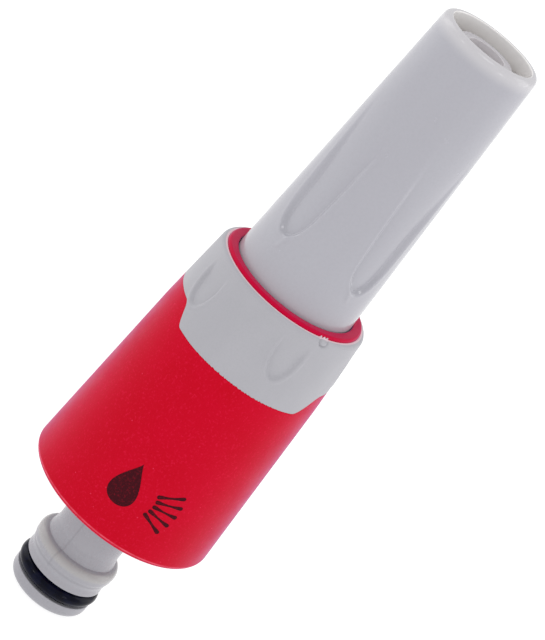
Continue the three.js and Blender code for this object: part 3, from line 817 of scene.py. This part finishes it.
def parting_line(angle, height):
    """The thin raised seam left where the two mould halves met."""
    seam = line_at(from_nearest(angle, PARTING_ANGLE, 2), PARTING_WIDTH)
    return PARTING_RELIEF * seam * smoothstep(height, *PARTING_BEGINS)


def shoulder_curve():
    """The locking shoulder's rounded top, from its crest in to the neck."""
    crest, rise, blunt = SHOULDER_CREST, SHOULDER_TOP - SHOULDER_CREST[1], SHOULDER_BLUNTNESS
    depth = crest[0] - NECK_RADIUS
    points = []
    for share in np.sin(np.linspace(0, 0.5 * math.pi, 11))[:-1]:
        radius = NECK_RADIUS + depth * (1 - share**blunt) ** (1 / blunt)
        if radius > NECK_RADIUS + NECK_FLARE + 0.1:
            points.append((radius, crest[1] + rise * share, 0))
    return points


def inlet_plug():
    """The quick-connect plug, with the flange and the threaded hub that hold it in the grip."""
    hub_top = highest("inlet_plug")
    corners = [
        (PLUG_BORE, 0, 0.4),
        (PLUG_RADIUS, 0, 1.3),
        (PLUG_RADIUS, GROOVE_LOW, 0.15),
        (GROOVE_ROOT, GROOVE_LOW, 0.2),
        (GROOVE_ROOT, GROOVE_TOP, 0.2),
        (PLUG_RADIUS, GROOVE_TOP, 0.15),
        (*PLUG_WAIST, 1.2),
        (*PLUG_SWELL, 1.5),
        *shoulder_curve(),
        (NECK_RADIUS + NECK_FLARE, SHOULDER_TOP, 0.03),
        (*NECK_FLARE_MIDDLE, 1.0),
        (NECK_RADIUS, NECK_FLARE_TOP, 1.5),
        (NECK_RADIUS, FLANGE_LOW, 1.2),
        (FLANGE_RADIUS, FLANGE_LOW, 0.3),
        (FLANGE_RADIUS, FLANGE_TOP, 0.3),
        (HUB_RADIUS, FLANGE_TOP, 0.2),
        (HUB_RADIUS, hub_top, 0.3),
        (CORE_SEAT_RADIUS, hub_top, 0.3),
        (CORE_SEAT_RADIUS, CORE_SEAT_FLOOR, 0.2),
        (PLUG_BORE, CORE_SEAT_FLOOR, 0.2),
    ]

    def reshape(radius, angle, height):
        outside = (radius > NECK_RADIUS - 0.1) & (height < FLANGE_LOW - 0.5)
        step = PLUG_STEP_DEPTH * line_at(height - PLUG_STEP, PLUG_STEP_WIDTH)
        return radius + np.where(outside, parting_line(angle, height) - step, 0), height

    piece = turned("plug_body", rounded(corners, 0.15, 6.5), 300, reshape)
    return place(piece, "grip", "grey_plastic", plug_plastic, "inlet_plug")


# ---------- generic printed mark ----------


def on_grip(across, up, lift):
    """A point on the grip's surface from a distance around it and a height, both in millimetres."""
    radius = float(grip_radius(up)) + lift
    angle = across / radius
    return (radius * math.sin(angle) * MM, -radius * math.cos(angle) * MM, up * MM)


def printed_patch(name, outline, centre):
    """A thin inked patch that lies on the grip: outline points are (across, up) about its centre."""
    vertices, faces = [], []
    count, rings = len(outline), INK_RINGS
    for level in (INK_LIFT, INK_SINK):
        for k in range(rings):
            scale = 1 - k / rings
            for x, y in outline:
                vertices.append(on_grip(centre[0] + x * scale, centre[1] + y * scale, level))
        vertices.append(on_grip(centre[0], centre[1], level))
    block = count * rings + 1
    for level in range(2):
        first = level * block
        for k in range(rings - 1):
            for i in range(count):
                j = (i + 1) % count
                a, b = first + k * count + i, first + k * count + j
                quad = [a, b, b + count, a + count]
                faces.append(quad if level == 0 else quad[::-1])
        last, hub = first + (rings - 1) * count, first + rings * count
        for i in range(count):
            triangle = [last + i, last + (i + 1) % count, hub]
            faces.append(triangle if level == 0 else triangle[::-1])
    for i in range(count):
        j = (i + 1) % count
        faces.append([i, block + i, block + j, j])
    return mesh_object(name, vertices, faces, crease=30)


def droplet(size):
    """A water drop: round below, drawn to a point above."""
    outline = []
    for i in range(DROP_POINTS):
        a = TAU * i / DROP_POINTS
        pinch = math.sin(a / 2) ** 1.6
        outline.append((size * math.sin(a) * pinch, size * 1.15 * math.cos(a)))
    return outline[::-1]


def dash(length, thickness, lean):
    """A short stroke with round ends, turned by an angle."""
    half, turn = length / 2 - thickness / 2, math.radians(lean)
    cosine, sine = math.cos(turn), math.sin(turn)
    outline = []
    for side, start in ((1, -90), (-1, 90)):
        for i in range(STROKE_END_POINTS + 1):
            a = math.radians(start + 180 * i / STROKE_END_POINTS)
            x, y = side * half + thickness / 2 * math.cos(a), thickness / 2 * math.sin(a)
            outline.append((x * cosine - y * sine, x * sine + y * cosine))
    return outline


def printed_mark():
    """A generic water mark: one drop and a fan of spray strokes beside it."""
    patches = [printed_patch("print_drop", droplet(DROP_SIZE), DROP_PLACE)]
    for row, lean in enumerate(FAN_LEANS):
        a = math.radians(lean)
        across = DROP_PLACE[0] + FAN_OFFSET[0] + FAN_RADIUS * math.cos(a)
        up = DROP_PLACE[1] + FAN_OFFSET[1] + FAN_RADIUS * math.sin(a)
        stroke = dash(STROKE_LENGTH, STROKE_WIDTH, lean)
        patches.append(printed_patch(f"print_stroke_{row + 1}", stroke, (across, up)))
    for patch in patches:
        place(patch, "grip", "red_plastic", ink)


# ---------- build the pieces ----------

barrel()
nozzle_tube()
grip_shell()
grip_collar()
inlet_plug()
ring("plug_seal", "plug_o_ring", "grip", section=PLUG_SEAL_SECTION)
ring("core_seal", "core_o_ring", "grip")
ring("pintle_seal", "pintle_o_ring", "grip")
ring("gland_seal", "gland_o_ring", "gland")
printed_mark()

for node, material in {
    "core_gasket": seal_rubber,
    "stem_lock_nut": inner_plastic,
    "core_stem": inner_plastic,
    "pintle": white_plastic,
    "thread_bush": white_plastic,
}.items():
    cad_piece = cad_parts[node]
    cad_piece.data.materials.clear()
    cad_piece.data.materials.append(material)

# ---------- floor, light and camera ----------


FLOOR_HALF_SIDE, FLOOR_GAP, FLOOR_GLOW = 6.0, 0.0002, 0.80
SKY_STRENGTH = 0.79
LIT_POINT = (0, 0, 0.07)
VIEW_ELEVATION, VIEW_LEAN, VIEW_LENS = 21.9, 50.5, 142.3
VIEW_ACROSS, VIEW_UP, VIEW_DISTANCE = 0.0008, 0.0633, 0.4584


def floor():
    """A wide pale floor just under the plug that glows evenly, so that it shows white."""
    side, low = FLOOR_HALF_SIDE, float(cad_box[0].z) - FLOOR_GAP
    corners = [(-side, -side, low), (side, -side, low), (side, side, low), (-side, side, low)]
    piece = mesh_object("floor", corners, [(0, 1, 2, 3)])
    s = Surface("floor", Roughness=0.9, Specular_IOR_Level=0.0)
    s.colour(s.mix(s.noise(400, detail=2), tint(158, 158, 158), tint(162, 162, 162)))
    s.shader.inputs["Emission Color"].default_value = (1, 1, 1, 1)
    s.shader.inputs["Emission Strength"].default_value = FLOOR_GLOW
    piece.data.materials.append(s.material)


def world_light(strength):
    """Even white light from all around."""
    world = bpy.data.worlds.new("studio")
    bpy.context.scene.world = world
    world.use_nodes = True
    background = world.node_tree.nodes["Background"]
    background.inputs["Color"].default_value = (1, 1, 1, 1)
    background.inputs["Strength"].default_value = strength


def softbox(name, place_at, size, power):
    """A rectangular area light that faces the nozzle's middle, in metres and watts."""
    light = bpy.data.lights.new(name, "AREA")
    light.shape = "RECTANGLE"
    light.size, light.size_y = size
    light.energy = power
    piece = bpy.data.objects.new(name, light)
    bpy.context.scene.collection.objects.link(piece)
    piece.location = place_at
    piece.rotation_euler = (Vector(LIT_POINT) - Vector(place_at)).to_track_quat("-Z", "Y").to_euler()


def camera():
    """Looks down on the mouth end, rolled so that the nozzle leans across the frame."""
    elevation, lean = math.radians(VIEW_ELEVATION), math.radians(VIEW_LEAN)
    across = Vector((1, 0, 0))
    upward = Vector((0, math.sin(elevation), math.cos(elevation)))
    forward = Vector((0, math.cos(elevation), -math.sin(elevation)))
    data = bpy.data.cameras.new("camera")
    data.sensor_width = 36
    data.lens = VIEW_LENS
    data.clip_start, data.clip_end = 0.02, 50
    piece = bpy.data.objects.new("camera", data)
    bpy.context.scene.collection.objects.link(piece)
    right = across * math.sin(lean) + upward * math.cos(lean)
    up = upward * math.sin(lean) - across * math.cos(lean)
    origin = Vector((0.0, 0.0, cad_box[0].z))
    location = origin + across * VIEW_ACROSS + upward * VIEW_UP - forward * VIEW_DISTANCE
    turn = Matrix((right, up, -forward)).transposed()
    piece.matrix_world = Matrix.Translation(location) @ turn.to_4x4()
    bpy.context.scene.camera = piece


floor()
world_light(SKY_STRENGTH)
softbox("left_softbox", (-0.75, 0.30, 0.35), (0.5, 0.9), 1.6)
softbox("right_softbox", (0.75, 0.30, 0.35), (0.5, 0.9), 1.6)
softbox("top_softbox", (0.10, -0.32, 0.86), (0.30, 0.10), 1.1)
softbox("front_left_softbox", (-0.64, -0.53, 0.37), (0.06, 0.06), 0.3)
softbox("front_right_softbox", (0.60, -0.50, 0.16), (0.06, 0.06), 0.3)
camera()
bpy.context.scene.view_settings.view_transform = "Standard"
